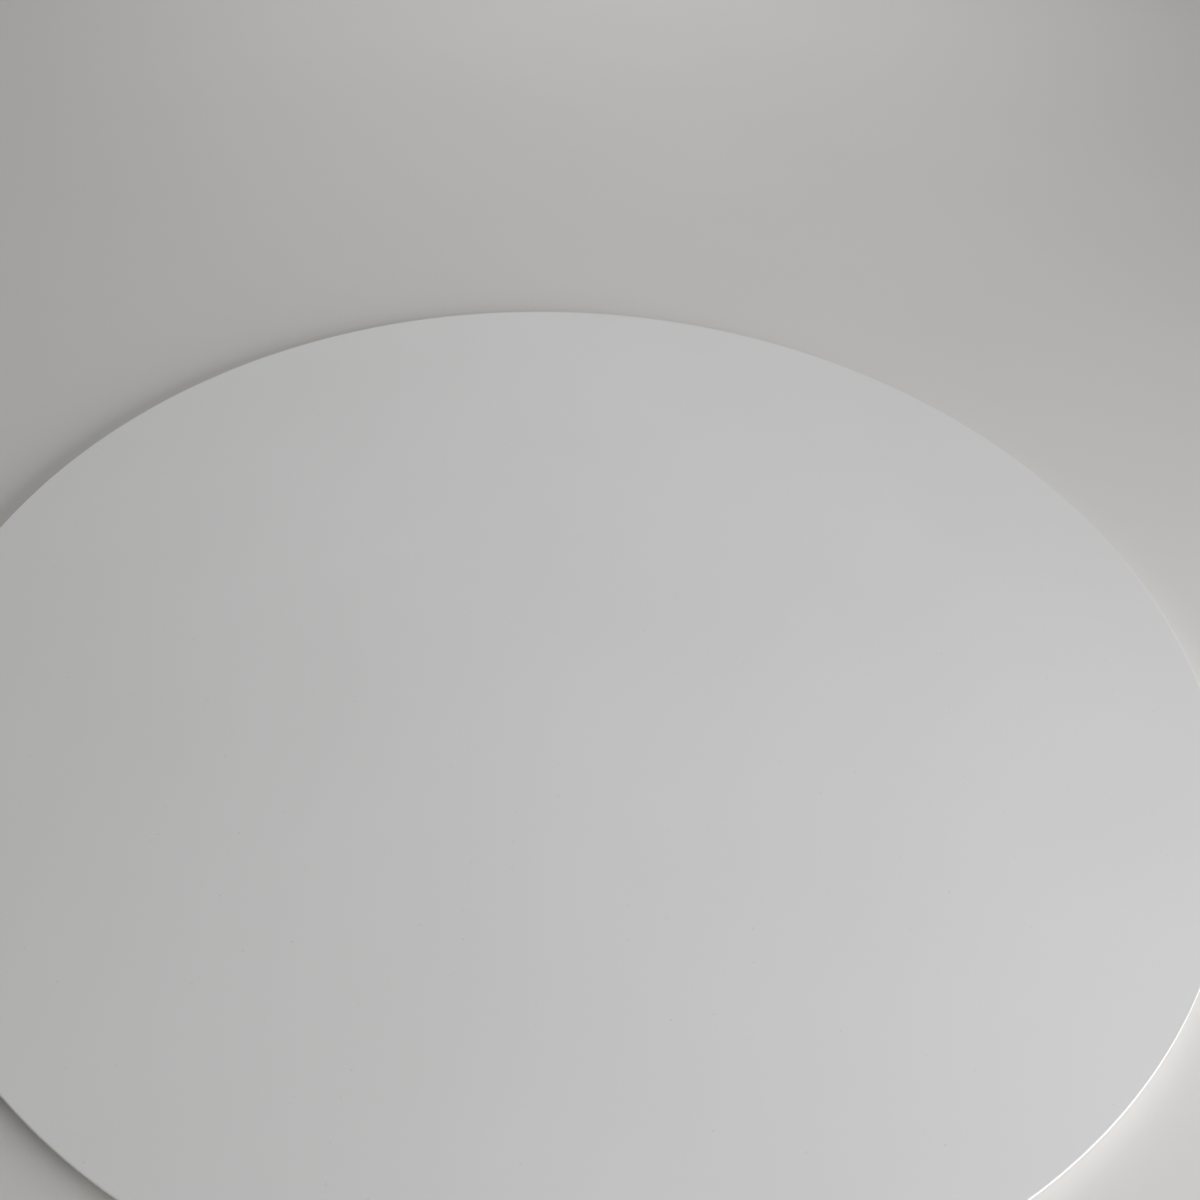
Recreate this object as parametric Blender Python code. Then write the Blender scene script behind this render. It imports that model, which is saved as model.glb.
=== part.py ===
"""Low-profile lazy susan: a wide white platter that turns on a ring of balls over a pressed steel base.

Metres, +Z up. The origin is on the spin axis at the level of the surface that the feet stand on.
"""

import math

import bmesh
import bpy

# Driving dimensions
PLATTER_DIAMETER = 0.600
TOTAL_HEIGHT = 0.010
GROUND_CLEARANCE = 0.001
FIT_GAP = 0.0003

# Platter: a solid board with a round pocket underneath for the bearing and a rim that tapers in below its nose
PLATTER_WEB = 0.0036
POCKET_DIAMETER = 0.406
EDGE_RUN = 0.0006
EDGE_DROP = 0.0006
EDGE_STEPS = 4
NOSE_HEIGHT = 0.0088
RIM_TAPER = 0.0018
LOWER_CHAMFER = 0.0005

# Base: pressed sheet with a raised centre, a sunk ball channel and a turned-up rim
BASE_DIAMETER = 0.400
SHEET = 0.0014
BASE_RIM_HEIGHT = 0.0028
RIM_CORNER = 0.0008
CENTRE_RISE = 0.0015
CENTRE_RADIUS = 0.016
CENTRE_SLOPE = 0.004
CHANNEL_DROP = 0.0006
CHANNEL_SLOPE = 0.0004
WINDOW_COUNT = 8
WINDOW_DIAMETER = 0.046
WINDOW_CIRCLE = 0.085

# Ball bearing
RACE_RADIUS = 0.150
RACE_WIDTH = 0.0174
RACE_THICKNESS = 0.0012
BALL_DIAMETER = 0.003175
BALL_COUNT = 24
RACE_SPACING = 0.0026
GROOVE_STEPS = 4
CAGE_WIDTH = 0.0124
CAGE_THICKNESS = 0.001

# Feet
FOOT_COUNT = 8
FOOT_CIRCLE = 0.186
FOOT_RADIUS = 0.008
FOOT_STEM_RADIUS = 0.0025
FOOT_BEAD_RADIUS = 0.0038
FOOT_BEAD_HEIGHT = 0.0012
FOOT_EDGE = 0.0003

# Centre pivot
SHOULDER_RADIUS = 0.003
THREAD_RADIUS = 0.0025
SCREW_HEAD_RADIUS = 0.006
SCREW_HEAD_HEIGHT = 0.001
SCREW_HEAD_EDGE = 0.0003
SOCKET_RADIUS = 0.0021
SOCKET_DEPTH = 0.002
WASHER_RADIUS = 0.008
WASHER_THICKNESS = 0.0004
BUSH_WALL = 0.0017
BUSH_FLANGE_RADIUS = 0.008
BUSH_FLANGE_THICKNESS = 0.0006
HUB_RADIUS = 0.030
HUB_THICKNESS = 0.001
NUT_RADIUS = 0.0046
NUT_THICKNESS = 0.002
NUT_POCKET_RADIUS = 0.0056
NUT_POCKET_DEPTH = 0.0024

# Hub screws
HUB_SCREW_COUNT = 4
HUB_SCREW_CIRCLE = 0.022
HUB_SCREW_RADIUS = 0.0014
HUB_SCREW_HEAD_RADIUS = 0.0027
HUB_SCREW_LENGTH = 0.0031
HUB_SCREW_HEAD_HEIGHT = 0.0009
HUB_SCREW_HOLE_DEPTH = 0.0022

# How finely round pieces are divided
WIDE_SEGMENTS = 96
RING_SEGMENTS = 72
HUB_SEGMENTS = 48
SMALL_SEGMENTS = 20
TINY_SEGMENTS = 12
OCTAGON = 8
HEXAGON = 6
BALL_SUBDIVISIONS = 2
SMOOTH_ANGLE = math.radians(35)

# Levels, worked out from the dimensions above
SHEET_BOTTOM = GROUND_CLEARANCE
SHEET_TOP = SHEET_BOTTOM + SHEET
CEILING = TOTAL_HEIGHT - PLATTER_WEB
CHANNEL_FLOOR = SHEET_TOP - CHANNEL_DROP
LOWER_RACE_BOTTOM = CHANNEL_FLOOR + FIT_GAP
LOWER_RACE_TOP = LOWER_RACE_BOTTOM + RACE_THICKNESS
BALL_LEVEL = LOWER_RACE_TOP + RACE_SPACING / 2
UPPER_RACE_BOTTOM = LOWER_RACE_TOP + RACE_SPACING
UPPER_RACE_TOP = UPPER_RACE_BOTTOM + RACE_THICKNESS
CHANNEL_CEILING = UPPER_RACE_TOP + FIT_GAP
CENTRE_BOTTOM = SHEET_BOTTOM + CENTRE_RISE
CENTRE_TOP = CENTRE_BOTTOM + SHEET
BUSH_RADIUS = SHOULDER_RADIUS + FIT_GAP + BUSH_WALL
BUSH_HOLE_RADIUS = BUSH_RADIUS + FIT_GAP
BUSH_FLANGE_BOTTOM = CENTRE_TOP + FIT_GAP
WASHER_TOP = CENTRE_BOTTOM - FIT_GAP
SCREW_HEAD_TOP = WASHER_TOP - WASHER_THICKNESS - FIT_GAP
HUB_TOP = CEILING - FIT_GAP
HUB_BOTTOM = HUB_TOP - HUB_THICKNESS
RACE_INNER = RACE_RADIUS - RACE_WIDTH / 2
RACE_OUTER = RACE_RADIUS + RACE_WIDTH / 2
CHANNEL_INNER = RACE_INNER - FIT_GAP
CHANNEL_OUTER = RACE_OUTER + FIT_GAP


def clear_scene():
    for item in list(bpy.data.objects):
        bpy.data.objects.remove(item, do_unlink=True)


def material(name, colour, roughness, metallic=0.0):
    made = bpy.data.materials.new(name)
    made.use_nodes = True
    shader = made.node_tree.nodes["Principled BSDF"]
    shader.inputs["Base Color"].default_value = (*colour, 1.0)
    shader.inputs["Roughness"].default_value = roughness
    shader.inputs["Metallic"].default_value = metallic
    return made


def on_circle(radius, index, count, offset=0.0):
    """x and y of point number index of count points round the spin axis."""
    angle = 2 * math.pi * (index + offset) / count
    return radius * math.cos(angle), radius * math.sin(angle)


def add_turned(bm, profile, segments, centre=(0.0, 0.0)):
    """Turns a closed loop of (radius, height) points about the upright axis through centre."""
    rings = []
    for radius, height in profile:
        if radius == 0:
            rings.append([bm.verts.new((centre[0], centre[1], height))])
            continue
        ring = []
        for index in range(segments):
            x, y = on_circle(radius, index, segments)
            ring.append(bm.verts.new((centre[0] + x, centre[1] + y, height)))
        rings.append(ring)
    for first, second in zip(rings, rings[1:] + rings[:1]):
        if len(first) == 1 and len(second) == 1:
            continue
        for index in range(segments):
            after = (index + 1) % segments
            corners = [first[index % len(first)], first[after % len(first)]]
            corners += [second[after % len(second)], second[index % len(second)]]
            bm.faces.new(list(dict.fromkeys(corners)))


def mesh_of(name, bm):
    bmesh.ops.recalc_face_normals(bm, faces=bm.faces)
    mesh = bpy.data.meshes.new(name)
    bm.to_mesh(mesh)
    bm.free()
    mesh.shade_smooth()
    mesh.set_sharp_from_angle(angle=SMOOTH_ANGLE)
    return mesh


def place(name, mesh, parent=None, location=(0.0, 0.0, 0.0)):
    """Adds an object at a location in the part's own frame, also where it has a parent on the spin axis."""
    item = bpy.data.objects.new(name, mesh)
    bpy.context.scene.collection.objects.link(item)
    item.location = location
    if parent is not None:
        item.parent = parent
        item.location.z -= parent.location.z
    return item


def turned(name, profile, segments, finish, parent=None, location=(0.0, 0.0, 0.0)):
    bm = bmesh.new()
    add_turned(bm, profile, segments)
    mesh = mesh_of(name, bm)
    mesh.materials.append(finish)
    return place(name, mesh, parent, location)


def cylinder_profile(radius, low, high):
    return [(0, low), (radius, low), (radius, high), (0, high)]


def ring_profile(inner, outer, low, high):
    return [(inner, low), (outer, low), (outer, high), (inner, high)]


def cut(item, name, profile, segments, centres):
    """Cuts the turned profile out of item at each centre."""
    bm = bmesh.new()
    for centre in centres:
        add_turned(bm, profile, segments, centre)
    cutter = place(name, mesh_of(name, bm), item.parent)
    cutter.hide_render = True
    cutter.display_type = "WIRE"
    modifier = item.modifiers.new(name, "BOOLEAN")
    modifier.operation = "DIFFERENCE"
    modifier.solver = "EXACT"
    modifier.object = cutter


def groove(race_face, steps):
    """Arc of the ball groove in a race whose flat face is at race_face, from outside to inside."""
    radius = BALL_DIAMETER / 2 + FIT_GAP
    offset = race_face - BALL_LEVEL
    half_width = math.sqrt(radius**2 - offset**2)
    reach = math.asin(half_width / radius)
    side = math.copysign(1.0, offset)
    points = []
    for step in range(steps + 1):
        angle = reach * (1 - 2 * step / steps)
        across = RACE_RADIUS + radius * math.sin(angle)
        points.append((across, BALL_LEVEL + side * radius * math.cos(angle)))
    return points


def platter(finish, axis):
    radius = PLATTER_DIAMETER / 2
    pocket = POCKET_DIAMETER / 2
    nut_ceiling = CEILING + NUT_POCKET_DEPTH
    profile = [
        (0, nut_ceiling),
        (NUT_POCKET_RADIUS, nut_ceiling),
        (NUT_POCKET_RADIUS, CEILING),
        (CHANNEL_INNER, CEILING),
        (CHANNEL_INNER, CHANNEL_CEILING),
        (CHANNEL_OUTER, CHANNEL_CEILING),
        (CHANNEL_OUTER, CEILING),
        (pocket, CEILING),
        (pocket, GROUND_CLEARANCE + LOWER_CHAMFER),
        (pocket + LOWER_CHAMFER, GROUND_CLEARANCE),
        (radius - RIM_TAPER - LOWER_CHAMFER, GROUND_CLEARANCE),
        (radius - RIM_TAPER, GROUND_CLEARANCE + LOWER_CHAMFER),
        (radius, NOSE_HEIGHT),
    ]
    for step in range(EDGE_STEPS + 1):
        angle = math.pi / 2 * step / EDGE_STEPS
        across = radius - EDGE_RUN * (1 - math.cos(angle))
        profile.append((across, TOTAL_HEIGHT - EDGE_DROP * (1 - math.sin(angle))))
    profile.append((0, TOTAL_HEIGHT))
    item = turned("platter", profile, WIDE_SEGMENTS, finish, axis)
    hole = cylinder_profile(HUB_SCREW_RADIUS + FIT_GAP, CEILING - FIT_GAP, CEILING + HUB_SCREW_HOLE_DEPTH)
    cut(item, "screw_holes", hole, TINY_SEGMENTS, hub_screw_centres())


def base_plate(finish):
    rim = BASE_DIAMETER / 2
    bulge_inner = CHANNEL_INNER - SHEET / 2
    bulge_outer = CHANNEL_OUTER + SHEET / 2
    slope_end = CENTRE_RADIUS + CENTRE_SLOPE
    profile = [
        (BUSH_HOLE_RADIUS, CENTRE_BOTTOM),
        (CENTRE_RADIUS, CENTRE_BOTTOM),
        (slope_end, SHEET_BOTTOM),
        (bulge_inner - CHANNEL_SLOPE, SHEET_BOTTOM),
        (bulge_inner, SHEET_BOTTOM - CHANNEL_DROP),
        (bulge_outer, SHEET_BOTTOM - CHANNEL_DROP),
        (bulge_outer + CHANNEL_SLOPE, SHEET_BOTTOM),
        (rim - RIM_CORNER, SHEET_BOTTOM),
        (rim, SHEET_BOTTOM + RIM_CORNER),
        (rim, SHEET_BOTTOM + BASE_RIM_HEIGHT),
        (rim - SHEET, SHEET_BOTTOM + BASE_RIM_HEIGHT),
        (rim - SHEET, SHEET_TOP),
        (CHANNEL_OUTER, SHEET_TOP),
        (CHANNEL_OUTER, CHANNEL_FLOOR),
        (CHANNEL_INNER, CHANNEL_FLOOR),
        (CHANNEL_INNER, SHEET_TOP),
        (slope_end + CENTRE_RISE / 2, SHEET_TOP),
        (CENTRE_RADIUS + CENTRE_RISE / 2, CENTRE_TOP),
        (BUSH_HOLE_RADIUS, CENTRE_TOP),
    ]
    item = turned("base_plate", profile, RING_SEGMENTS, finish)
    through = (SHEET_BOTTOM - SHEET, SHEET_TOP + SHEET)
    window = cylinder_profile(WINDOW_DIAMETER / 2, *through)
    windows = [on_circle(WINDOW_CIRCLE, index, WINDOW_COUNT) for index in range(WINDOW_COUNT)]
    cut(item, "windows", window, SMALL_SEGMENTS, windows)
    stem_hole = cylinder_profile(FOOT_STEM_RADIUS + FIT_GAP, *through)
    cut(item, "foot_holes", stem_hole, TINY_SEGMENTS, foot_centres())


def races(finish, axis):
    lower = [
        (RACE_INNER, LOWER_RACE_BOTTOM),
        (RACE_OUTER, LOWER_RACE_BOTTOM),
        (RACE_OUTER, LOWER_RACE_TOP),
        *groove(LOWER_RACE_TOP, GROOVE_STEPS),
        (RACE_INNER, LOWER_RACE_TOP),
    ]
    turned("lower_race", lower, RING_SEGMENTS, finish)
    upper = [
        (RACE_INNER, UPPER_RACE_TOP),
        (RACE_OUTER, UPPER_RACE_TOP),
        (RACE_OUTER, UPPER_RACE_BOTTOM),
        *groove(UPPER_RACE_BOTTOM, GROOVE_STEPS),
        (RACE_INNER, UPPER_RACE_BOTTOM),
    ]
    turned("upper_race", upper, RING_SEGMENTS, finish, axis)


def ball_centres():
    return [on_circle(RACE_RADIUS, index, BALL_COUNT) for index in range(BALL_COUNT)]


def ball_cage(finish, axis):
    low = BALL_LEVEL - CAGE_THICKNESS / 2
    high = BALL_LEVEL + CAGE_THICKNESS / 2
    profile = ring_profile(RACE_RADIUS - CAGE_WIDTH / 2, RACE_RADIUS + CAGE_WIDTH / 2, low, high)
    item = turned("ball_cage", profile, RING_SEGMENTS, finish, axis)
    pocket = cylinder_profile(BALL_DIAMETER / 2 + FIT_GAP, low - CAGE_THICKNESS, high + CAGE_THICKNESS)
    cut(item, "ball_pockets", pocket, OCTAGON, ball_centres())


def balls(finish, axis):
    bm = bmesh.new()
    bmesh.ops.create_icosphere(bm, subdivisions=BALL_SUBDIVISIONS, radius=BALL_DIAMETER / 2)
    mesh = mesh_of("ball", bm)
    mesh.shade_smooth()
    mesh.materials.append(finish)
    for index, (x, y) in enumerate(ball_centres()):
        place(f"ball_{index + 1:02d}", mesh, axis, (x, y, BALL_LEVEL))


def foot_centres():
    return [on_circle(FOOT_CIRCLE, index, FOOT_COUNT, 0.5) for index in range(FOOT_COUNT)]


def feet(finish):
    pad_top = SHEET_BOTTOM - FIT_GAP
    bead_bottom = SHEET_TOP + FIT_GAP
    bead_top = bead_bottom + FOOT_BEAD_HEIGHT
    profile = [
        (0, 0),
        (FOOT_RADIUS - FOOT_EDGE, 0),
        (FOOT_RADIUS, FOOT_EDGE),
        (FOOT_RADIUS - FOOT_EDGE, pad_top),
        (FOOT_STEM_RADIUS, pad_top),
        (FOOT_STEM_RADIUS, bead_bottom),
        (FOOT_BEAD_RADIUS, bead_bottom),
        (FOOT_STEM_RADIUS, bead_top),
        (0, bead_top),
    ]
    bm = bmesh.new()
    add_turned(bm, profile, TINY_SEGMENTS)
    mesh = mesh_of("foot", bm)
    mesh.materials.append(finish)
    for index, (x, y) in enumerate(foot_centres()):
        place(f"foot_{index + 1}", mesh, None, (x, y, 0))


def pivot(steel, nylon, axis):
    """Shoulder screw, washer, bush, hub plate and nut that hold the platter down on the base."""
    head_bottom = SCREW_HEAD_TOP - SCREW_HEAD_HEIGHT
    shoulder_top = HUB_BOTTOM - FIT_GAP
    thread_end = CEILING + NUT_POCKET_DEPTH - 2 * FIT_GAP
    screw = [
        (0, head_bottom),
        (SCREW_HEAD_RADIUS - SCREW_HEAD_EDGE, head_bottom),
        (SCREW_HEAD_RADIUS, head_bottom + SCREW_HEAD_EDGE),
        (SCREW_HEAD_RADIUS, SCREW_HEAD_TOP),
        (SHOULDER_RADIUS, SCREW_HEAD_TOP),
        (SHOULDER_RADIUS, shoulder_top),
        (THREAD_RADIUS, shoulder_top),
        (THREAD_RADIUS, thread_end),
        (0, thread_end),
    ]
    item = turned("pivot_screw", screw, SMALL_SEGMENTS, steel, axis)
    socket = cylinder_profile(SOCKET_RADIUS, head_bottom - SCREW_HEAD_HEIGHT, head_bottom + SOCKET_DEPTH)
    cut(item, "hex_socket", socket, HEXAGON, [(0, 0)])

    bore = SHOULDER_RADIUS + FIT_GAP
    washer = ring_profile(bore, WASHER_RADIUS, WASHER_TOP - WASHER_THICKNESS, WASHER_TOP)
    turned("pivot_washer", washer, SMALL_SEGMENTS, steel)

    flange_top = BUSH_FLANGE_BOTTOM + BUSH_FLANGE_THICKNESS
    bush = [
        (bore, CENTRE_BOTTOM),
        (BUSH_RADIUS, CENTRE_BOTTOM),
        (BUSH_RADIUS, BUSH_FLANGE_BOTTOM),
        (BUSH_FLANGE_RADIUS, BUSH_FLANGE_BOTTOM),
        (BUSH_FLANGE_RADIUS, flange_top),
        (bore, flange_top),
    ]
    turned("pivot_bush", bush, SMALL_SEGMENTS, nylon)

    thread_bore = THREAD_RADIUS + FIT_GAP
    hub = ring_profile(thread_bore, HUB_RADIUS, HUB_BOTTOM, HUB_TOP)
    item = turned("hub_plate", hub, HUB_SEGMENTS, steel, axis)
    mouth = HUB_SCREW_HEAD_RADIUS + FIT_GAP
    countersink = [
        (0, HUB_BOTTOM - HUB_THICKNESS),
        (mouth, HUB_BOTTOM - HUB_THICKNESS),
        (mouth, HUB_BOTTOM),
        (HUB_SCREW_RADIUS + FIT_GAP, HUB_TOP),
        (HUB_SCREW_RADIUS + FIT_GAP, HUB_TOP + HUB_THICKNESS),
        (0, HUB_TOP + HUB_THICKNESS),
    ]
    cut(item, "countersinks", countersink, TINY_SEGMENTS, hub_screw_centres())

    nut = cylinder_profile(NUT_RADIUS, CEILING, CEILING + NUT_THICKNESS)
    item = turned("pivot_nut", nut, HEXAGON, steel, axis)
    through = cylinder_profile(thread_bore, CEILING - NUT_THICKNESS, CEILING + 2 * NUT_THICKNESS)
    cut(item, "nut_bore", through, SMALL_SEGMENTS, [(0, 0)])


def hub_screw_centres():
    return [on_circle(HUB_SCREW_CIRCLE, index, HUB_SCREW_COUNT, 0.5) for index in range(HUB_SCREW_COUNT)]


def hub_screws(steel, axis):
    low = FIT_GAP / 2
    profile = [
        (0, low),
        (HUB_SCREW_HEAD_RADIUS - low, low),
        (HUB_SCREW_RADIUS, HUB_SCREW_HEAD_HEIGHT),
        (HUB_SCREW_RADIUS, HUB_SCREW_LENGTH),
        (0, HUB_SCREW_LENGTH),
    ]
    bm = bmesh.new()
    add_turned(bm, profile, TINY_SEGMENTS)
    mesh = mesh_of("hub_screw", bm)
    mesh.materials.append(steel)
    for index, (x, y) in enumerate(hub_screw_centres()):
        place(f"hub_screw_{index + 1}", mesh, axis, (x, y, HUB_BOTTOM))


def main():
    clear_scene()
    white = material("satin_white", (0.80, 0.80, 0.79), 0.42)
    painted = material("grey_powder_coat", (0.56, 0.57, 0.58), 0.5)
    steel = material("zinc_plated_steel", (0.66, 0.67, 0.69), 0.3, 1.0)
    chrome = material("ball_steel", (0.75, 0.76, 0.78), 0.12, 1.0)
    nylon = material("natural_nylon", (0.83, 0.81, 0.75), 0.45)
    silicone = material("grey_silicone", (0.30, 0.31, 0.32), 0.7)

    platter_axis = place("platter_axis", None, None, (0, 0, BALL_LEVEL))
    cage_axis = place("cage_axis", None, None, (0, 0, BALL_LEVEL))
    base_plate(painted)
    feet(silicone)
    races(steel, platter_axis)
    balls(chrome, cage_axis)
    ball_cage(nylon, cage_axis)
    platter(white, platter_axis)
    pivot(steel, nylon, platter_axis)
    hub_screws(steel, platter_axis)


main()
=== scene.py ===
"""Looks of the low-profile lazy susan.

Each CAD node gets a finer piece of its own, with procedural materials, in a plain studio.
"""

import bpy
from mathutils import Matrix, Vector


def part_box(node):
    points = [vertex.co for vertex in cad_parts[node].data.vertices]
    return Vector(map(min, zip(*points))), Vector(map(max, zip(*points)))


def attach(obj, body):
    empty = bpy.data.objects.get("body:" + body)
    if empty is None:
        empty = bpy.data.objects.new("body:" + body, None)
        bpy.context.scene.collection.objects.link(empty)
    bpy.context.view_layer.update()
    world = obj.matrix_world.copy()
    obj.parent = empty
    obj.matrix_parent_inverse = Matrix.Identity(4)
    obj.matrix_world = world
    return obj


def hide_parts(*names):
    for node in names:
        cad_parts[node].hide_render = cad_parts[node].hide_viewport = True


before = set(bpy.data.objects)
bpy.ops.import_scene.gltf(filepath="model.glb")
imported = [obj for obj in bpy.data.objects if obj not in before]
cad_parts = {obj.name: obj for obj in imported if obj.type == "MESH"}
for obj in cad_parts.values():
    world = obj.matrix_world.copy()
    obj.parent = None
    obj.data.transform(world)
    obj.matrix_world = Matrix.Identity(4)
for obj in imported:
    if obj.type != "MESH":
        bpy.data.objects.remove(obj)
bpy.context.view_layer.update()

import math

import bmesh
import bpy
from mathutils import Matrix, Vector

MM = 0.001
GAP = 0.3 * MM
SMOOTH_ANGLE = math.radians(32)
SAME = 1e-7  # heights this near are one level


def centre_of(node):
    low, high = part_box(node)
    return (low + high) / 2


def centres_of(prefix):
    """Centres of the numbered nodes whose names are this prefix and a number."""
    return [centre_of(name) for name in sorted(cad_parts) if name.removeprefix(prefix).isdigit()]


# Lowest and highest corners, read from the frame
PLATTER_LOW, PLATTER_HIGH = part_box("platter")
BASE_LOW, BASE_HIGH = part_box("base_plate")
LOWER_LOW, LOWER_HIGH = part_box("lower_race")
UPPER_LOW, UPPER_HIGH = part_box("upper_race")
CAGE_LOW, CAGE_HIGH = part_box("ball_cage")
SCREW_LOW, SCREW_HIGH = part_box("pivot_screw")
WASHER_LOW, WASHER_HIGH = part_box("pivot_washer")
BUSH_LOW, BUSH_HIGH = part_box("pivot_bush")
HUB_LOW, HUB_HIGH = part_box("hub_plate")
NUT_LOW, NUT_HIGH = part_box("pivot_nut")

# Levels, radii and places that follow from them
RADIUS = PLATTER_HIGH.x
HEIGHT = PLATTER_HIGH.z
CLEARANCE = PLATTER_LOW.z
BALLS = centres_of("ball_")
FEET = centres_of("foot_")
HUB_SCREWS = centres_of("hub_screw_")
BALL_LEVEL = BALLS[0].z
TRACK = BALLS[0].to_2d().length
RACE_HALF_WIDTH = 8.7 * MM
CHANNEL_IN = TRACK - RACE_HALF_WIDTH - GAP
CHANNEL_OUT = TRACK + RACE_HALF_WIDTH + GAP
CEILING = HUB_HIGH.z + GAP

# Sizes that the boxes don't give, as in the CAD
BALL_RADIUS = 1.5875 * MM
SHEET = 1.4 * MM
SHEET_LOW = CLEARANCE
SHEET_HIGH = SHEET_LOW + SHEET
POCKET_RADIUS = 203 * MM
RIM_TAPER = 1.8 * MM
NOSE_HEIGHT = 8.8 * MM
TOP_EDGE = 0.6 * MM
NUT_POCKET_RADIUS = 5.6 * MM
NUT_POCKET_DEPTH = 2.4 * MM
PILOT_RADIUS = 1.65 * MM
BASE_BORE = 5.3 * MM
RAISED_RADIUS = 16 * MM
SLOPE_RADIUS = 20 * MM
WINDOW_RADIUS = 23.0 * MM
WINDOW_RING = 85 * MM
WINDOWS = 8
FOOT_HOLE = 2.8 * MM
FOOT_RADIUS = 8 * MM
FOOT_STEM = 2.5 * MM
SHANK_BORE = 3.3 * MM
HUB_BORE = 2.8 * MM
BUSH_FLANGE = 0.6 * MM


# Shapes


def rounded(corners, steps=5):
    """Profile points of a loop of (radius, height, fillet) corners, each turned into an arc."""
    points = []
    for index, (across, height, fillet) in enumerate(corners):
        corner = Vector((across, height))
        if fillet == 0:
            points.append((across, height))
            continue
        before = (Vector(corners[index - 1][:2]) - corner).normalized()
        after = (Vector(corners[(index + 1) % len(corners)][:2]) - corner).normalized()
        half = before.angle(after) / 2
        reach = fillet / math.tan(half)
        middle = corner + (before + after).normalized() * (fillet / math.sin(half))
        first = (corner + before * reach - middle).normalized()
        last = (corner + after * reach - middle).normalized()
        for step in range(steps + 1):
            points.append(tuple(middle + fillet * first.slerp(last, step / steps)))
    return points


def add_ring(bm, across, height, segments, centre, reach=None):
    """Ring of vertices about an upright axis through centre, or one vertex where the radius is 0."""
    if across == 0:
        return [bm.verts.new((centre[0], centre[1], height))]
    ring = []
    for index in range(segments):
        angle = 2 * math.pi * index / segments
        out = reach(angle, across, height) if reach else across
        place = (centre[0] + out * math.cos(angle), centre[1] + out * math.sin(angle), height)
        ring.append(bm.verts.new(place))
    return ring


def join(bm, first, second):
    """Skin between two rings of vertices, each a full turn or one point."""
    count = max(len(first), len(second))
    if count == 1:
        return
    for index in range(count):
        after = (index + 1) % count
        corners = [first[index % len(first)], first[after % len(first)]]
        corners += [second[after % len(second)], second[index % len(second)]]
        bm.faces.new(list(dict.fromkeys(corners)))


def fill(bm, rings):
    """Flat face between rings of vertices that all lie at one height."""
    edges = []
    for ring in rings:
        for first, second in zip(ring, ring[1:] + ring[:1]):
            edges.append(bm.edges.get((first, second)) or bm.edges.new((first, second)))
    bmesh.ops.triangle_fill(bm, use_beauty=True, edges=edges, normal=(0, 0, 1))


def turned_mesh(name, profile, segments, centre=(0.0, 0.0), reach=None, holes=()):
    """Mesh of a closed loop of (radius, height) points turned about an upright axis.

    reach(angle, radius, height) may change the radius. Each entry of holes is (centres, hole profile,
    segments): the profile runs between two flat faces of the body, or from one of them to a point on
    the hole's own axis.
    """
    bm = bmesh.new()
    rings = [add_ring(bm, across, height, segments, centre, reach) for across, height in profile]
    mouths = []
    for centres, hole, count in holes:
        for spot in centres:
            bore = [add_ring(bm, across, height, count, spot) for across, height in hole]
            for first, second in zip(bore, bore[1:]):
                join(bm, first, second)
            for ring, (across, height) in ((bore[0], hole[0]), (bore[-1], hole[-1])):
                if len(ring) > 1:
                    mouths.append((height, Vector(spot[:2]).length, across, ring))
    following = profile[1:] + profile[:1]
    for first, second, (near, low), (far, high) in zip(rings, rings[1:] + rings[:1], profile, following):
        inner, outer = sorted((near, far))
        on_face = [
            ring
            for height, out, across, ring in mouths
            if max(abs(height - low), abs(high - low)) < SAME
            and inner < out - across
            and out + across < outer
        ]
        if on_face:
            fill(bm, [first, second, *on_face])
        else:
            join(bm, first, second)
    return mesh_of(name, bm)


def mesh_of(name, bm):
    """Mesh with its faces turned outwards and its sharp edges marked."""
    bmesh.ops.recalc_face_normals(bm, faces=bm.faces)
    mesh = bpy.data.meshes.new(name)
    bm.to_mesh(mesh)
    bm.free()
    mesh.shade_smooth()
    mesh.set_sharp_from_angle(angle=SMOOTH_ANGLE)
    return mesh


def show(name, mesh, finish, body, node_name):
    """Adds a piece that stands for a CAD node and rides on its body."""
    piece = bpy.data.objects.new(name, mesh)
    bpy.context.scene.collection.objects.link(piece)
    mesh.materials.append(finish)
    even = piece.modifiers.new("even_shading", "WEIGHTED_NORMAL")
    even.keep_sharp = True
    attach(piece, body)
    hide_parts(node_name)
    return piece


def ring_profile(inner, outer, low, high, edge, steps=4):
    """Profile of a flat ring with rounded edges."""
    corners = [(inner, low, edge), (outer, low, edge), (outer, high, edge), (inner, high, edge)]
    return rounded(corners, steps)


def bore_profile(radius, low, high, mouth, steps=4):
    """Profile of a through hole from its low face to its high face, with rounded mouths."""
    points = []
    for step in range(steps + 1):
        angle = math.pi / 2 * step / steps
        points.append((radius + mouth * (1 - math.sin(angle)), low + mouth * (1 - math.cos(angle))))
    for step in range(steps + 1):
        angle = math.pi / 2 * step / steps
        points.append((radius + mouth * (1 - math.cos(angle)), high - mouth * (1 - math.sin(angle))))
    return points


# Materials


def node(tree, kind, inputs=None, **settings):
    """Adds a shader node. An input is a plain value or another node's output."""
    made = tree.nodes.new(kind)
    for name, value in settings.items():
        setattr(made, name, value)
    for name, value in (inputs or {}).items():
        socket = made.inputs[name]
        if isinstance(value, bpy.types.NodeSocket):
            tree.links.new(value, socket)
        else:
            socket.default_value = value
    return made


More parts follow.
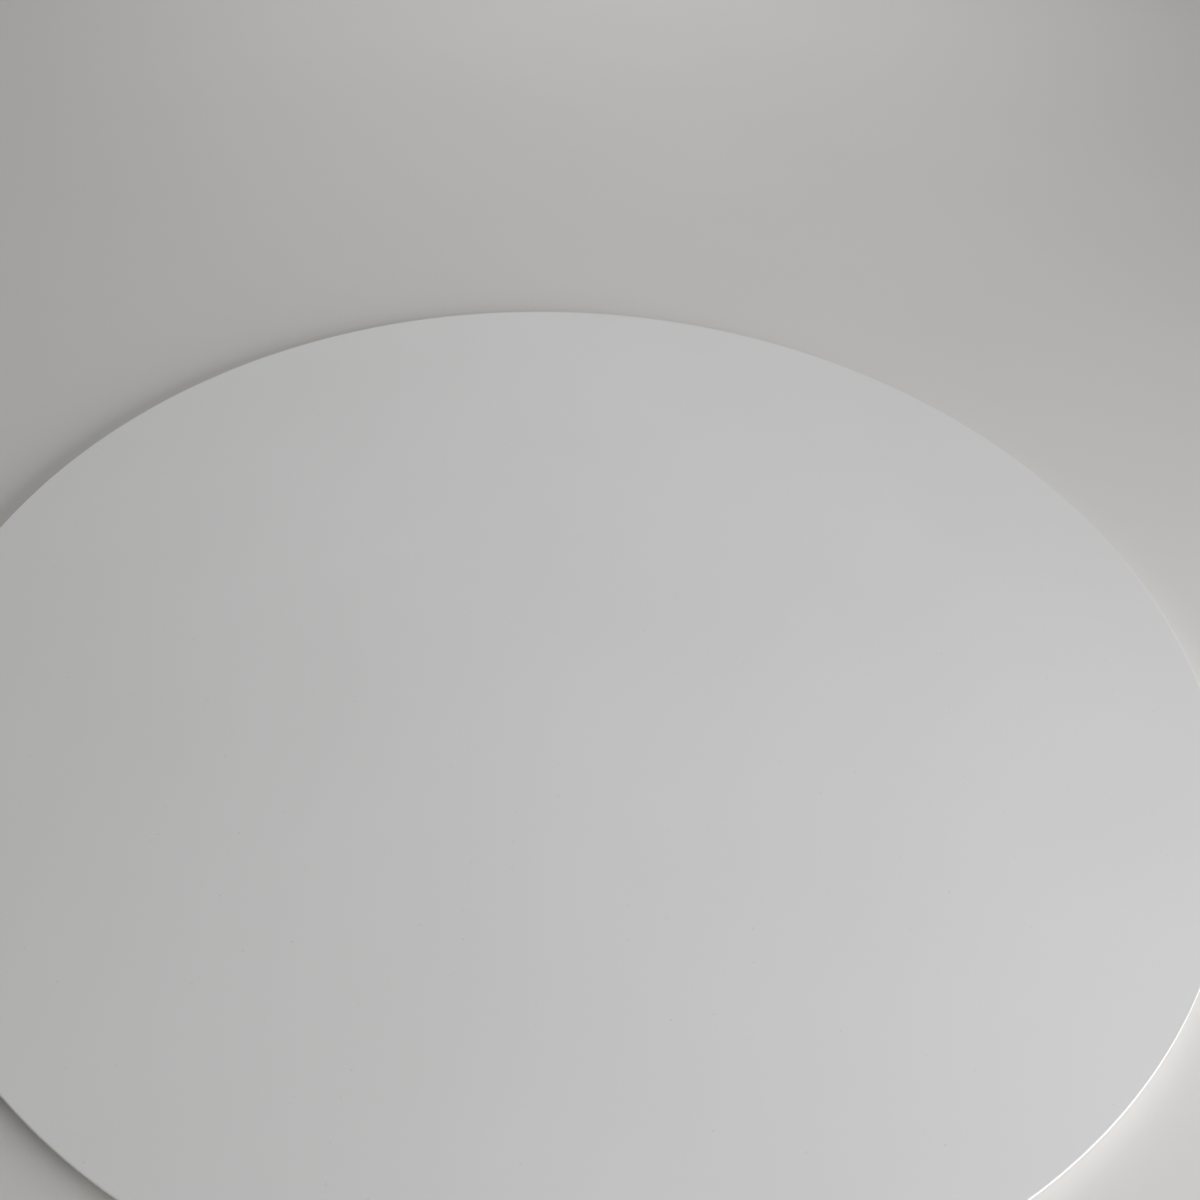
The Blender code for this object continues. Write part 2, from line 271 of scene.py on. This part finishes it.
def finish_base(name, roughness, metallic=0.0, **more):
    """New material, its tree, its shader and the object's own coordinates. more sets sockets by name."""
    made = bpy.data.materials.new(name)
    made.use_nodes = True
    shader = made.node_tree.nodes["Principled BSDF"]
    shader.inputs["Roughness"].default_value = roughness
    shader.inputs["Metallic"].default_value = metallic
    for socket, value in more.items():
        shader.inputs[socket.replace("_", " ")].default_value = value
    coordinates = node(made.node_tree, "ShaderNodeTexCoord").outputs["Object"]
    return made, made.node_tree, shader, coordinates


def noise(tree, vector, scale, detail=2.0, rough=0.5):
    inputs = {"Vector": vector, "Scale": scale, "Detail": detail, "Roughness": rough}
    return node(tree, "ShaderNodeTexNoise", inputs).outputs["Fac"]


def remap(tree, value, low, high, to_low, to_high):
    """Value between low and high stretched to between to_low and to_high, and clamped there."""
    inputs = {"Value": value, "From Min": low, "From Max": high, "To Min": to_low, "To Max": to_high}
    return node(tree, "ShaderNodeMapRange", inputs).outputs["Result"]


def math_node(tree, operation, first, second=0.0):
    return node(tree, "ShaderNodeMath", {0: first, 1: second}, operation=operation).outputs[0]


def vector_node(tree, operation, first, second=(0.0, 0.0, 0.0)):
    made = node(tree, "ShaderNodeVectorMath", {0: first, 1: second}, operation=operation)
    return made.outputs["Value" if operation == "LENGTH" else "Vector"]


def mix(tree, factor, first, second):
    made = node(tree, "ShaderNodeMix", data_type="RGBA")
    for socket, value in ((made.inputs[0], factor), (made.inputs[6], first), (made.inputs[7], second)):
        if isinstance(value, bpy.types.NodeSocket):
            tree.links.new(value, socket)
        elif isinstance(value, tuple):
            socket.default_value = (*value, 1.0)
        else:
            socket.default_value = value
    return made.outputs[2]


def bump(tree, shader, height, strength, distance):
    """Adds a bump on top of those that the shader already has."""
    before = shader.inputs["Normal"]
    inputs = {"Height": height, "Strength": strength, "Distance": distance}
    if before.is_linked:
        inputs["Normal"] = before.links[0].from_socket
    tree.links.new(node(tree, "ShaderNodeBump", inputs).outputs["Normal"], before)


def swirl(tree, vector, along, across):
    """Coordinates that run slowly round the spin axis and fast across it, for turned surfaces."""
    flat = vector_node(tree, "MULTIPLY", vector, (1.0, 1.0, 0.0))
    turn = vector_node(tree, "MULTIPLY", vector_node(tree, "NORMALIZE", flat), (along, along, 0.0))
    out = math_node(tree, "MULTIPLY", vector_node(tree, "LENGTH", flat), across)
    lift = node(tree, "ShaderNodeCombineXYZ", {"Z": out}).outputs[0]
    return vector_node(tree, "ADD", turn, lift)


def specks(tree, vector, scale, size, share):
    """1 on small round specks, size metres in radius, in that share of a scattered grid's cells."""
    cells = node(tree, "ShaderNodeTexVoronoi", {"Vector": vector, "Scale": scale}, voronoi_dimensions="2D")
    spot = remap(tree, cells.outputs["Distance"], size * scale * 0.45, size * scale, 1.0, 0.0)
    pick = node(tree, "ShaderNodeSeparateColor", {"Color": cells.outputs["Color"]}).outputs["Red"]
    return math_node(tree, "MULTIPLY", spot, remap(tree, pick, 1 - share, 1.0, 0.0, 1.0))


def satin_white():
    """Matte white board: faint clouds, dust of two sizes, circular wipe marks and a fine grain."""
    made, tree, shader, at = finish_base("satin_white", 0.55, Specular_IOR_Level=0.35)
    cloud = remap(tree, noise(tree, at, 7.0, 3.0), 0.3, 0.7, 0.0, 1.0)
    tone = mix(tree, cloud, (0.795, 0.795, 0.785), (0.82, 0.82, 0.812))
    dust = specks(tree, at, 62.0, 0.45 * MM, 0.3)
    tone = mix(tree, math_node(tree, "MULTIPLY", dust, 0.35), tone, (0.42, 0.40, 0.38))
    fine = specks(tree, at, 190.0, 0.2 * MM, 0.25)
    tone = mix(tree, math_node(tree, "MULTIPLY", fine, 0.3), tone, (0.5, 0.49, 0.47))
    tree.links.new(tone, shader.inputs["Base Color"])
    wiped = noise(tree, swirl(tree, at, 2.2, 260.0), 1.0, 4.0, 0.6)
    cloudy = noise(tree, at, 16.0, 4.0, 0.6)
    both = math_node(tree, "ADD", wiped, cloudy)
    tree.links.new(remap(tree, both, 0.6, 1.4, 0.49, 0.61), shader.inputs["Roughness"])
    bump(tree, shader, noise(tree, at, 620.0, 2.0), 0.05, 0.05 * MM)
    bump(tree, shader, noise(tree, at, 60.0, 2.0), 0.03, 0.1 * MM)
    bump(tree, shader, dust, 0.2, 0.05 * MM)
    return made


def powder_coat():
    """Grey powder coat: an orange-peel grain, slow blotches and dust."""
    made, tree, shader, at = finish_base("grey_powder_coat", 0.5)
    grain = noise(tree, at, 1100.0, 3.0, 0.55)
    blotch = noise(tree, at, 40.0, 4.0)
    tone = mix(tree, remap(tree, blotch, 0.3, 0.7, 0.0, 1.0), (0.53, 0.54, 0.55), (0.59, 0.60, 0.61))
    dust = specks(tree, at, 90.0, 0.35 * MM, 0.35)
    tone = mix(tree, math_node(tree, "MULTIPLY", dust, 0.5), tone, (0.30, 0.30, 0.30))
    tree.links.new(tone, shader.inputs["Base Color"])
    tree.links.new(remap(tree, grain, 0.3, 0.7, 0.42, 0.6), shader.inputs["Roughness"])
    bump(tree, shader, grain, 0.35, 0.06 * MM)
    return made


def steel(name, colour, darker, low, high, track=False):
    """Plated or ground steel: fine turning lines, clouds and, on a race, a polished, greased track."""
    made, tree, shader, at = finish_base(name, high, 1.0)
    cloud = remap(tree, noise(tree, at, 90.0, 4.0), 0.3, 0.7, 0.0, 1.0)
    lines = noise(tree, swirl(tree, at, 3.0, 2600.0), 1.0, 3.0, 0.6)
    tone = mix(tree, cloud, darker, colour)
    rough = remap(tree, math_node(tree, "ADD", lines, cloud), 0.4, 1.6, low, high)
    if track:
        out = vector_node(tree, "LENGTH", vector_node(tree, "MULTIPLY", at, (1.0, 1.0, 0.0)))
        off = math_node(tree, "ABSOLUTE", math_node(tree, "SUBTRACT", out, TRACK))
        ran = remap(tree, off, 0.2 * MM, 0.9 * MM, 1.0, 0.0)
        near_track = remap(tree, off, 1 * MM, 6 * MM, 0.5, 0.0)
        grease = math_node(tree, "MULTIPLY", near_track, noise(tree, at, 260.0, 4.0))
        tone = mix(tree, grease, tone, (0.42, 0.36, 0.24))
        rough = math_node(tree, "SUBTRACT", rough, math_node(tree, "MULTIPLY", ran, low * 0.6))
    tree.links.new(tone, shader.inputs["Base Color"])
    tree.links.new(rough, shader.inputs["Roughness"])
    bump(tree, shader, lines, 0.12, 0.02 * MM)
    return made


def ball_steel():
    """Polished steel under a thin film of oil."""
    made, tree, shader, at = finish_base("ball_steel", 0.1, 1.0)
    film = noise(tree, at, 900.0, 4.0, 0.6)
    tree.links.new(mix(tree, film, (0.70, 0.71, 0.73), (0.80, 0.80, 0.81)), shader.inputs["Base Color"])
    tree.links.new(remap(tree, film, 0.35, 0.7, 0.07, 0.2), shader.inputs["Roughness"])
    bump(tree, shader, film, 0.02, 0.01 * MM)
    return made


def nylon():
    """Undyed moulded nylon, a little waxy, with flow marks and dirt."""
    waxy = {"Subsurface_Weight": 0.12, "Subsurface_Scale": 0.8 * MM}
    made, tree, shader, at = finish_base("natural_nylon", 0.45, **waxy)
    flow = noise(tree, at, 140.0, 4.0)
    tone = mix(tree, remap(tree, flow, 0.3, 0.7, 0.0, 1.0), (0.80, 0.78, 0.71), (0.85, 0.83, 0.77))
    dirt = specks(tree, at, 240.0, 0.3 * MM, 0.3)
    tone = mix(tree, math_node(tree, "MULTIPLY", dirt, 0.4), tone, (0.42, 0.38, 0.30))
    tree.links.new(tone, shader.inputs["Base Color"])
    tree.links.new(remap(tree, flow, 0.3, 0.7, 0.38, 0.54), shader.inputs["Roughness"])
    bump(tree, shader, noise(tree, at, 1500.0, 2.0), 0.15, 0.02 * MM)
    return made


def silicone():
    """Soft grey rubber that has picked up lint."""
    made, tree, shader, at = finish_base("grey_silicone", 0.68, Sheen_Weight=0.15)
    mottle = noise(tree, at, 400.0, 4.0)
    tone = mix(tree, remap(tree, mottle, 0.3, 0.7, 0.0, 1.0), (0.27, 0.28, 0.29), (0.33, 0.34, 0.35))
    lint = specks(tree, at, 420.0, 0.16 * MM, 0.4)
    tone = mix(tree, math_node(tree, "MULTIPLY", lint, 0.5), tone, (0.60, 0.59, 0.56))
    tree.links.new(tone, shader.inputs["Base Color"])
    tree.links.new(remap(tree, mottle, 0.3, 0.7, 0.6, 0.76), shader.inputs["Roughness"])
    bump(tree, shader, noise(tree, at, 2200.0, 2.0), 0.2, 0.03 * MM)
    return made


def paper():
    """The sweep's paper, with a tooth and a few flecks."""
    made, tree, shader, at = finish_base("sweep_paper", 0.8, Specular_IOR_Level=0.25)
    tooth = noise(tree, at, 900.0, 3.0, 0.6)
    cloud = noise(tree, at, 5.0, 2.0)
    tone = mix(tree, remap(tree, cloud, 0.3, 0.7, 0.0, 1.0), (0.735, 0.714, 0.692), (0.748, 0.728, 0.706))
    fleck = specks(tree, at, 110.0, 0.3 * MM, 0.3)
    tone = mix(tree, math_node(tree, "MULTIPLY", fleck, 0.2), tone, (0.4, 0.37, 0.34))
    tree.links.new(tone, shader.inputs["Base Color"])
    tree.links.new(remap(tree, tooth, 0.3, 0.7, 0.74, 0.86), shader.inputs["Roughness"])
    bump(tree, shader, tooth, 0.1, 0.05 * MM)
    return made


# Pieces


def platter(finish):
    """Board with a rounded top edge, a rim that leans in below its nose, and a pocket underneath."""
    nut_ceiling = CEILING + NUT_POCKET_DEPTH
    upper_bed = UPPER_HIGH.z + GAP
    past_screws = HUB_HIGH.x + 2 * MM
    corners = [
        (0, nut_ceiling, 0),
        (NUT_POCKET_RADIUS, nut_ceiling, 0.3 * MM),
        (NUT_POCKET_RADIUS, CEILING, 0.2 * MM),
        (past_screws, CEILING, 0),
        (CHANNEL_IN, CEILING, 0.15 * MM),
        (CHANNEL_IN, upper_bed, 0.1 * MM),
        (CHANNEL_OUT, upper_bed, 0.1 * MM),
        (CHANNEL_OUT, CEILING, 0.15 * MM),
        (POCKET_RADIUS, CEILING, 0.6 * MM),
        (POCKET_RADIUS, CLEARANCE, 0.6 * MM),
        (RADIUS - RIM_TAPER, CLEARANCE, 0.6 * MM),
        (RADIUS, NOSE_HEIGHT, 0.3 * MM),
        (RADIUS, HEIGHT, 0),
    ]
    profile = rounded(corners, 6)[:-1]
    steps = 8
    for step in range(steps + 1):
        angle = math.pi / 2 * step / steps
        inward = TOP_EDGE * (1 - math.cos(angle))
        profile.append((RADIUS - inward, HEIGHT - TOP_EDGE * (1 - math.sin(angle))))
    for across in (0.297, 0.29, 0.26, 0.2, 0.1, 0.03):
        profile.append((across, HEIGHT))
    profile.append((0, HEIGHT))
    pilot = [
        (PILOT_RADIUS + 0.1 * MM, CEILING),
        (PILOT_RADIUS, CEILING + 0.1 * MM),
        (PILOT_RADIUS, CEILING + 1.9 * MM),
        (0, CEILING + 2.2 * MM),
    ]
    mesh = turned_mesh("platter_board", profile, 384, holes=[(HUB_SCREWS, pilot, 24)])
    show("platter_board", mesh, finish, "platter", "platter")


def base_plate(finish):
    """Pressed sheet: raised centre, sunk ball channel, turned-up rim, windows and foot holes."""
    rim = BASE_HIGH.x
    centre_low = BUSH_LOW.z
    centre_high = BUSH_HIGH.z - BUSH_FLANGE - GAP
    low = BASE_LOW.z
    bulge_in = CHANNEL_IN - SHEET / 2
    bulge_out = CHANNEL_OUT + SHEET / 2
    floor = LOWER_LOW.z - GAP
    corners = [
        (BASE_BORE, centre_low, 0.2 * MM),
        (RAISED_RADIUS, centre_low, 1.2 * MM),
        (SLOPE_RADIUS, SHEET_LOW, 1.2 * MM),
        (bulge_in - 0.4 * MM, SHEET_LOW, 0.2 * MM),
        (bulge_in, low, 0.2 * MM),
        (bulge_out, low, 0.2 * MM),
        (bulge_out + 0.4 * MM, SHEET_LOW, 0.2 * MM),
        (rim, SHEET_LOW, 1.0 * MM),
        (rim, BASE_HIGH.z, 0.4 * MM),
        (rim - SHEET, BASE_HIGH.z, 0.4 * MM),
        (rim - SHEET, SHEET_HIGH, 0.5 * MM),
        (CHANNEL_OUT, SHEET_HIGH, 0.15 * MM),
        (CHANNEL_OUT, floor, 0.1 * MM),
        (CHANNEL_IN, floor, 0.1 * MM),
        (CHANNEL_IN, SHEET_HIGH, 0.15 * MM),
        (SLOPE_RADIUS + 0.75 * MM, SHEET_HIGH, 1.2 * MM),
        (RAISED_RADIUS + 0.75 * MM, centre_high, 1.2 * MM),
        (BASE_BORE, centre_high, 0.2 * MM),
    ]
    turns = [Matrix.Rotation(2 * math.pi * index / WINDOWS, 2) for index in range(WINDOWS)]
    spots = [turn @ Vector((WINDOW_RING, 0)) for turn in turns]
    window = bore_profile(WINDOW_RADIUS, SHEET_LOW, SHEET_HIGH, 0.35 * MM)
    stem = bore_profile(FOOT_HOLE, SHEET_LOW, SHEET_HIGH, 0.15 * MM)
    mesh = turned_mesh("base_pan", rounded(corners), 288, holes=[(spots, window, 96), (FEET, stem, 32)])
    show("base_pan", mesh, finish, "base", "base_plate")


def race(name, face, back, finish, body):
    """Flat ring with a round ball groove in its face."""
    ball_gap = BALL_RADIUS + GAP
    offset = face - BALL_LEVEL
    side = math.copysign(1.0, offset)
    half_angle = math.asin(math.sqrt(ball_gap**2 - offset**2) / ball_gap)
    inner = TRACK - RACE_HALF_WIDTH
    outer = TRACK + RACE_HALF_WIDTH
    points = ring_profile(inner, outer, back, face, 0.2 * MM, 3)
    groove = []
    steps = 12
    for step in range(steps + 1):
        angle = half_angle * (1 - 2 * step / steps)
        level = BALL_LEVEL + side * ball_gap * math.cos(angle)
        groove.append((TRACK + ball_gap * math.sin(angle), level))
    before_inner = len(points) * 3 // 4
    profile = points[:before_inner] + groove + points[before_inner:]
    show(f"{name}_ring", turned_mesh(name, profile, 288), finish, body, name)


def balls(finish):
    """Each ball is turned its own way, so that their marks differ."""
    for index, centre in enumerate(BALLS):
        bm = bmesh.new()
        bmesh.ops.create_uvsphere(bm, u_segments=32, v_segments=20, radius=BALL_RADIUS)
        bmesh.ops.rotate(bm, verts=bm.verts, matrix=Matrix.Rotation(0.7 * index, 3, (0.6, 0.3, 1.0)))
        bmesh.ops.translate(bm, verts=bm.verts, vec=centre)
        name = f"ball_{index + 1:02d}"
        show(f"bearing_{name}", mesh_of(name, bm), finish, "ball_cage", name)


def ball_cage(finish):
    """Thin ring with a raised lip round each ball's pocket, on both faces."""
    low, high = CAGE_LOW.z, CAGE_HIGH.z
    outer = CAGE_HIGH.x
    inner = 2 * TRACK - outer
    ring = ring_profile(inner, outer, low, high, 0.25 * MM)
    lip = 2.7 * MM
    pocket = BALL_RADIUS + GAP
    rise = 0.3 * MM
    hole = rounded(
        [
            (lip + 0.1 * MM, low, 0),
            (lip, low - rise, 0.12 * MM),
            (pocket, low - rise, 0.12 * MM),
            (pocket, high + rise, 0.12 * MM),
            (lip, high + rise, 0.12 * MM),
            (lip + 0.1 * MM, high, 0),
        ],
        4,
    )
    mesh = turned_mesh("cage_ring", ring, 288, holes=[(BALLS, hole, 40)])
    show("cage_ring", mesh, finish, "ball_cage", "ball_cage")


def feet(finish):
    """Pad with a shallow cup underneath, and a stem whose bead holds it in the sheet."""
    pad_top = SHEET_LOW - GAP
    bead_low = SHEET_HIGH + GAP
    bead_high = bead_low + 1.2 * MM
    corners = [
        (0, 0.15 * MM, 0),
        (4.2 * MM, 0.15 * MM, 0.1 * MM),
        (4.4 * MM, 0, 0.05 * MM),
        (FOOT_RADIUS, 0, 0.3 * MM),
        (FOOT_RADIUS, pad_top, 0.25 * MM),
        (FOOT_STEM, pad_top, 0.1 * MM),
        (FOOT_STEM, bead_low, 0.1 * MM),
        (3.8 * MM, bead_low, 0.3 * MM),
        (FOOT_STEM, bead_high, 0.5 * MM),
        (0, bead_high, 0),
    ]
    for index, centre in enumerate(FEET):
        mesh = turned_mesh("foot_pad", rounded(corners, 4), 64, centre)
        show(f"foot_pad_{index + 1}", mesh, finish, "base", f"foot_{index + 1}")


def thread_depth(angle, height, pitch, low, high):
    """Depth of a V thread at a point of the shank, from 0 at its crest to 1 at its root.

    It fades to 0 at both ends.
    """
    turn = (height - low) / pitch - angle / (2 * math.pi)
    wave = abs(2 * (turn % 1) - 1)
    fade = min(1.0, (height - low) / (pitch / 2), (high - height) / (pitch / 2))
    return max(0.0, fade) * min(1.0, max(0.0, 1.25 * wave - 0.12))


def hexagon(angle, across_flats):
    """Distance from the centre to the side of a hexagon with a corner at angle 0."""
    return across_flats / 2 / math.cos(angle % (math.pi / 3) - math.pi / 6)


def cross(angle, length, width):
    """Distance from the centre to the side of a cross of two bars."""
    turn = abs((angle + math.pi / 4) % (math.pi / 2) - math.pi / 4)
    return min(length / 2 / math.cos(turn), width / 2 / max(math.sin(turn), 1e-6))


def shoulder_screw(finish):
    """Screw with a wide low head, a hexagon socket, a plain shoulder and a fine thread."""
    head_low = SCREW_LOW.z
    head_high = head_low + 1 * MM
    shoulder_top = HUB_LOW.z - GAP
    top = SCREW_HIGH.z
    socket = 2.1 * MM
    thread = 2.5 * MM
    corners = [
        (0, head_low + 2.0 * MM, 0),
        (socket, head_low + 1.8 * MM, 0),
        (socket, head_low + 0.2 * MM, 0),
        (2.3 * MM, head_low, 0),
        (6 * MM, head_low, 0.35 * MM),
        (6 * MM, head_high, 0.1 * MM),
        (3 * MM, head_high, 0.05 * MM),
        (3 * MM, shoulder_top, 0.15 * MM),
        (thread, shoulder_top, 0.05 * MM),
        (thread, top, 0),
    ]
    thread_low = shoulder_top + 0.15 * MM
    thread_high = top - 0.35 * MM
    profile = rounded(corners, 4)[:-1]
    count = 56
    for step in range(count + 1):
        profile.append((thread, thread_low + (thread_high - thread_low) * step / count))
    profile += [(2.15 * MM, top), (0, top)]

    def reach(angle, across, height):
        if across == socket:
            return hexagon(angle, 2 * socket * math.cos(math.pi / 6))
        if across == thread:
            return across - 0.42 * MM * thread_depth(angle, height, 0.8 * MM, thread_low, thread_high)
        return across

    mesh = turned_mesh("shoulder_screw", profile, 72, reach=reach)
    show("shoulder_screw", mesh, finish, "platter", "pivot_screw")


def washer(finish):
    loop = ring_profile(SHANK_BORE, WASHER_HIGH.x, WASHER_LOW.z, WASHER_HIGH.z, 0.12 * MM)
    mesh = turned_mesh("washer", loop, 96)
    show("plain_washer", mesh, finish, "base", "pivot_washer")


def bush(finish):
    wall = BASE_BORE - GAP
    flange_low = BUSH_HIGH.z - BUSH_FLANGE
    corners = [
        (SHANK_BORE, BUSH_LOW.z, 0.15 * MM),
        (wall, BUSH_LOW.z, 0.25 * MM),
        (wall, flange_low, 0.1 * MM),
        (BUSH_HIGH.x, flange_low, 0.15 * MM),
        (BUSH_HIGH.x, BUSH_HIGH.z, 0.2 * MM),
        (SHANK_BORE, BUSH_HIGH.z, 0.2 * MM),
    ]
    mesh = turned_mesh("bush", rounded(corners, 4), 96)
    show("flanged_bush", mesh, finish, "base", "pivot_bush")


def hub_disc(finish):
    """Disc with countersunk screw holes."""
    low, high = HUB_LOW.z, HUB_HIGH.z
    loop = ring_profile(HUB_BORE, HUB_HIGH.x, low, high, 0.2 * MM)
    sink = [
        (3.05 * MM, low),
        (2.95 * MM, low + 0.08 * MM),
        (1.7 * MM, high - 0.05 * MM),
        (1.75 * MM, high),
    ]
    mesh = turned_mesh("hub_disc", loop, 144, holes=[(HUB_SCREWS, sink, 48)])
    show("hub_disc", mesh, finish, "platter", "hub_plate")


def hex_nut(finish):
    """Nut with both faces chamfered round."""
    low, high = NUT_LOW.z, NUT_HIGH.z
    corner = 4.6 * MM
    flats = 2 * corner * math.cos(math.pi / 6)
    chamfer = 0.3 * MM
    loop = [(HUB_BORE, low + chamfer), (HUB_BORE + chamfer, low)]
    count = 16
    loop += [(corner, low + (high - low) * step / count) for step in range(count + 1)]
    loop += [(HUB_BORE + chamfer, high), (HUB_BORE, high - chamfer)]

    def reach(angle, across, height):
        if across != corner:
            return across
        cone = flats / 2 + 0.02 * MM + 1.6 * min(height - low, high - height)
        return min(hexagon(angle, flats), cone)

    mesh = turned_mesh("hex_nut", loop, 96, reach=reach)
    show("hex_nut", mesh, finish, "platter", "pivot_nut")


def hub_screws(finish):
    """Countersunk screws with a cross recess and a coarse thread."""
    head = HUB_LOW.z + 0.15 * MM
    low = HUB_LOW.z + 1.0 * MM
    high = HUB_LOW.z + 3.1 * MM
    shank = 1.4 * MM
    deep = 0.8 * MM
    wide = 1.45 * MM
    corners = [(0, head + 1.0 * MM, 0), (deep, head + 0.85 * MM, 0), (wide, head, 0)]
    corners += [(2.65 * MM, head, 0.05 * MM), (shank, low - 0.1 * MM, 0.1 * MM), (shank, high, 0)]
    profile = rounded(corners, 3)[:-1]
    count = 36
    top = high - 0.3 * MM
    profile += [(shank, low + (top - low) * step / count) for step in range(count + 1)]
    profile += [(1.0 * MM, high), (0, high)]
    for index, centre in enumerate(HUB_SCREWS):
        turn = 0.4 * index

        def reach(angle, across, height, turn=turn):
            if across == deep:
                return cross(angle + turn, 2 * deep, 0.42 * MM)
            if across == wide:
                return cross(angle + turn, 2 * wide, 0.6 * MM)
            if across == shank:
                return across - 0.35 * MM * thread_depth(angle + turn, height, 0.7 * MM, low, top)
            return across

        mesh = turned_mesh("hub_screw", profile, 96, centre, reach)
        show(f"csk_screw_{index + 1}", mesh, finish, "platter", f"hub_screw_{index + 1}")


def sweep(finish):
    """Pale paper floor that curves up far behind the object on all sides."""
    floor_end = 2.2
    bend = 0.9
    steps = 12
    segments = 96
    loop = [(0, 0), (0.6, 0), (1.2, 0), (floor_end, 0)]
    for step in range(1, steps + 1):
        angle = math.pi / 2 * step / steps
        loop.append((floor_end + bend * math.sin(angle), bend * (1 - math.cos(angle))))
    loop.append((floor_end + bend, 1.6))
    bm = bmesh.new()
    rings = [add_ring(bm, across, height, segments, (0.0, 0.0)) for across, height in loop]
    for first, second in zip(rings, rings[1:]):
        join(bm, second, first)
    mesh = bpy.data.meshes.new("sweep")
    bm.to_mesh(mesh)
    bm.free()
    mesh.shade_smooth()
    mesh.materials.append(finish)
    made = bpy.data.objects.new("sweep", mesh)
    bpy.context.scene.collection.objects.link(made)


def lighting():
    """Dim warm surroundings and four soft lights, which make the right side brighter than the left."""
    world = bpy.data.worlds.new("studio")
    world.use_nodes = True
    background = world.node_tree.nodes["Background"]
    background.inputs["Color"].default_value = (1.0, 0.965, 0.92, 1.0)
    background.inputs["Strength"].default_value = 0.14
    bpy.context.scene.world = world
    bpy.context.scene.view_settings.view_transform = "Standard"
    soft_light("key", (0.95, -0.76, 0.42), 0.8, 5.2, spread=100)
    soft_light("overhead", (0.0, 0.0, 1.1), 0.8, 1.6)
    soft_light("behind", (0.0, 0.996, 0.836), 0.9, 2.8)
    soft_light("backdrop", (0.0, 1.5, 1.3), 1.2, 7.0, target=(0.0, 2.4, 0.2))


def soft_light(name, place, size, power, target=(0.05, 0.0, 0.0), spread=180):
    """Square area light that faces its target and isn't seen itself. Its spread is in degrees."""
    data = bpy.data.lights.new(name, "AREA")
    data.shape = "SQUARE"
    data.size = size
    data.energy = power
    data.color = (0.985, 1.0, 1.02)
    data.spread = math.radians(spread)
    lamp = bpy.data.objects.new(name, data)
    bpy.context.scene.collection.objects.link(lamp)
    lamp.location = place
    lamp.rotation_mode = "QUATERNION"
    lamp.rotation_quaternion = (Vector(target) - Vector(place)).to_track_quat("-Z", "Y")
    lamp.visible_camera = False


def camera():
    """Camera that looks down at a slant on the near edge, rolled a little."""
    pitch = math.radians(43.4156)
    roll = math.radians(4.3757)
    right = Vector((1, 0, 0))
    up = Vector((0, math.sin(pitch), math.cos(pitch)))
    back = Vector((0, -math.cos(pitch), math.sin(pitch)))
    across = math.cos(roll) * right + math.sin(roll) * up
    above = math.cos(roll) * up - math.sin(roll) * right
    data = bpy.data.cameras.new("camera")
    data.lens = 38.7
    data.sensor_width = 36
    eye = bpy.data.objects.new("camera", data)
    bpy.context.scene.collection.objects.link(eye)
    place = Matrix((across, above, back)).transposed().to_4x4()
    place.translation = Vector((0.01005, -0.43243, 0.43887 + HEIGHT))
    eye.matrix_world = place
    bpy.context.scene.camera = eye


def main():
    zinc = steel("zinc_plated_steel", (0.68, 0.69, 0.70), (0.60, 0.61, 0.63), 0.24, 0.4)
    ground = steel("race_steel", (0.66, 0.67, 0.69), (0.56, 0.57, 0.58), 0.2, 0.36, track=True)
    cage_nylon = nylon()
    platter(satin_white())
    base_plate(powder_coat())
    race("lower_race", LOWER_HIGH.z, LOWER_LOW.z, ground, "base")
    race("upper_race", UPPER_LOW.z, UPPER_HIGH.z, ground, "platter")
    balls(ball_steel())
    ball_cage(cage_nylon)
    feet(silicone())
    shoulder_screw(zinc)
    washer(zinc)
    bush(cage_nylon)
    hub_disc(zinc)
    hex_nut(zinc)
    hub_screws(zinc)
    sweep(paper())
    lighting()
    camera()


main()
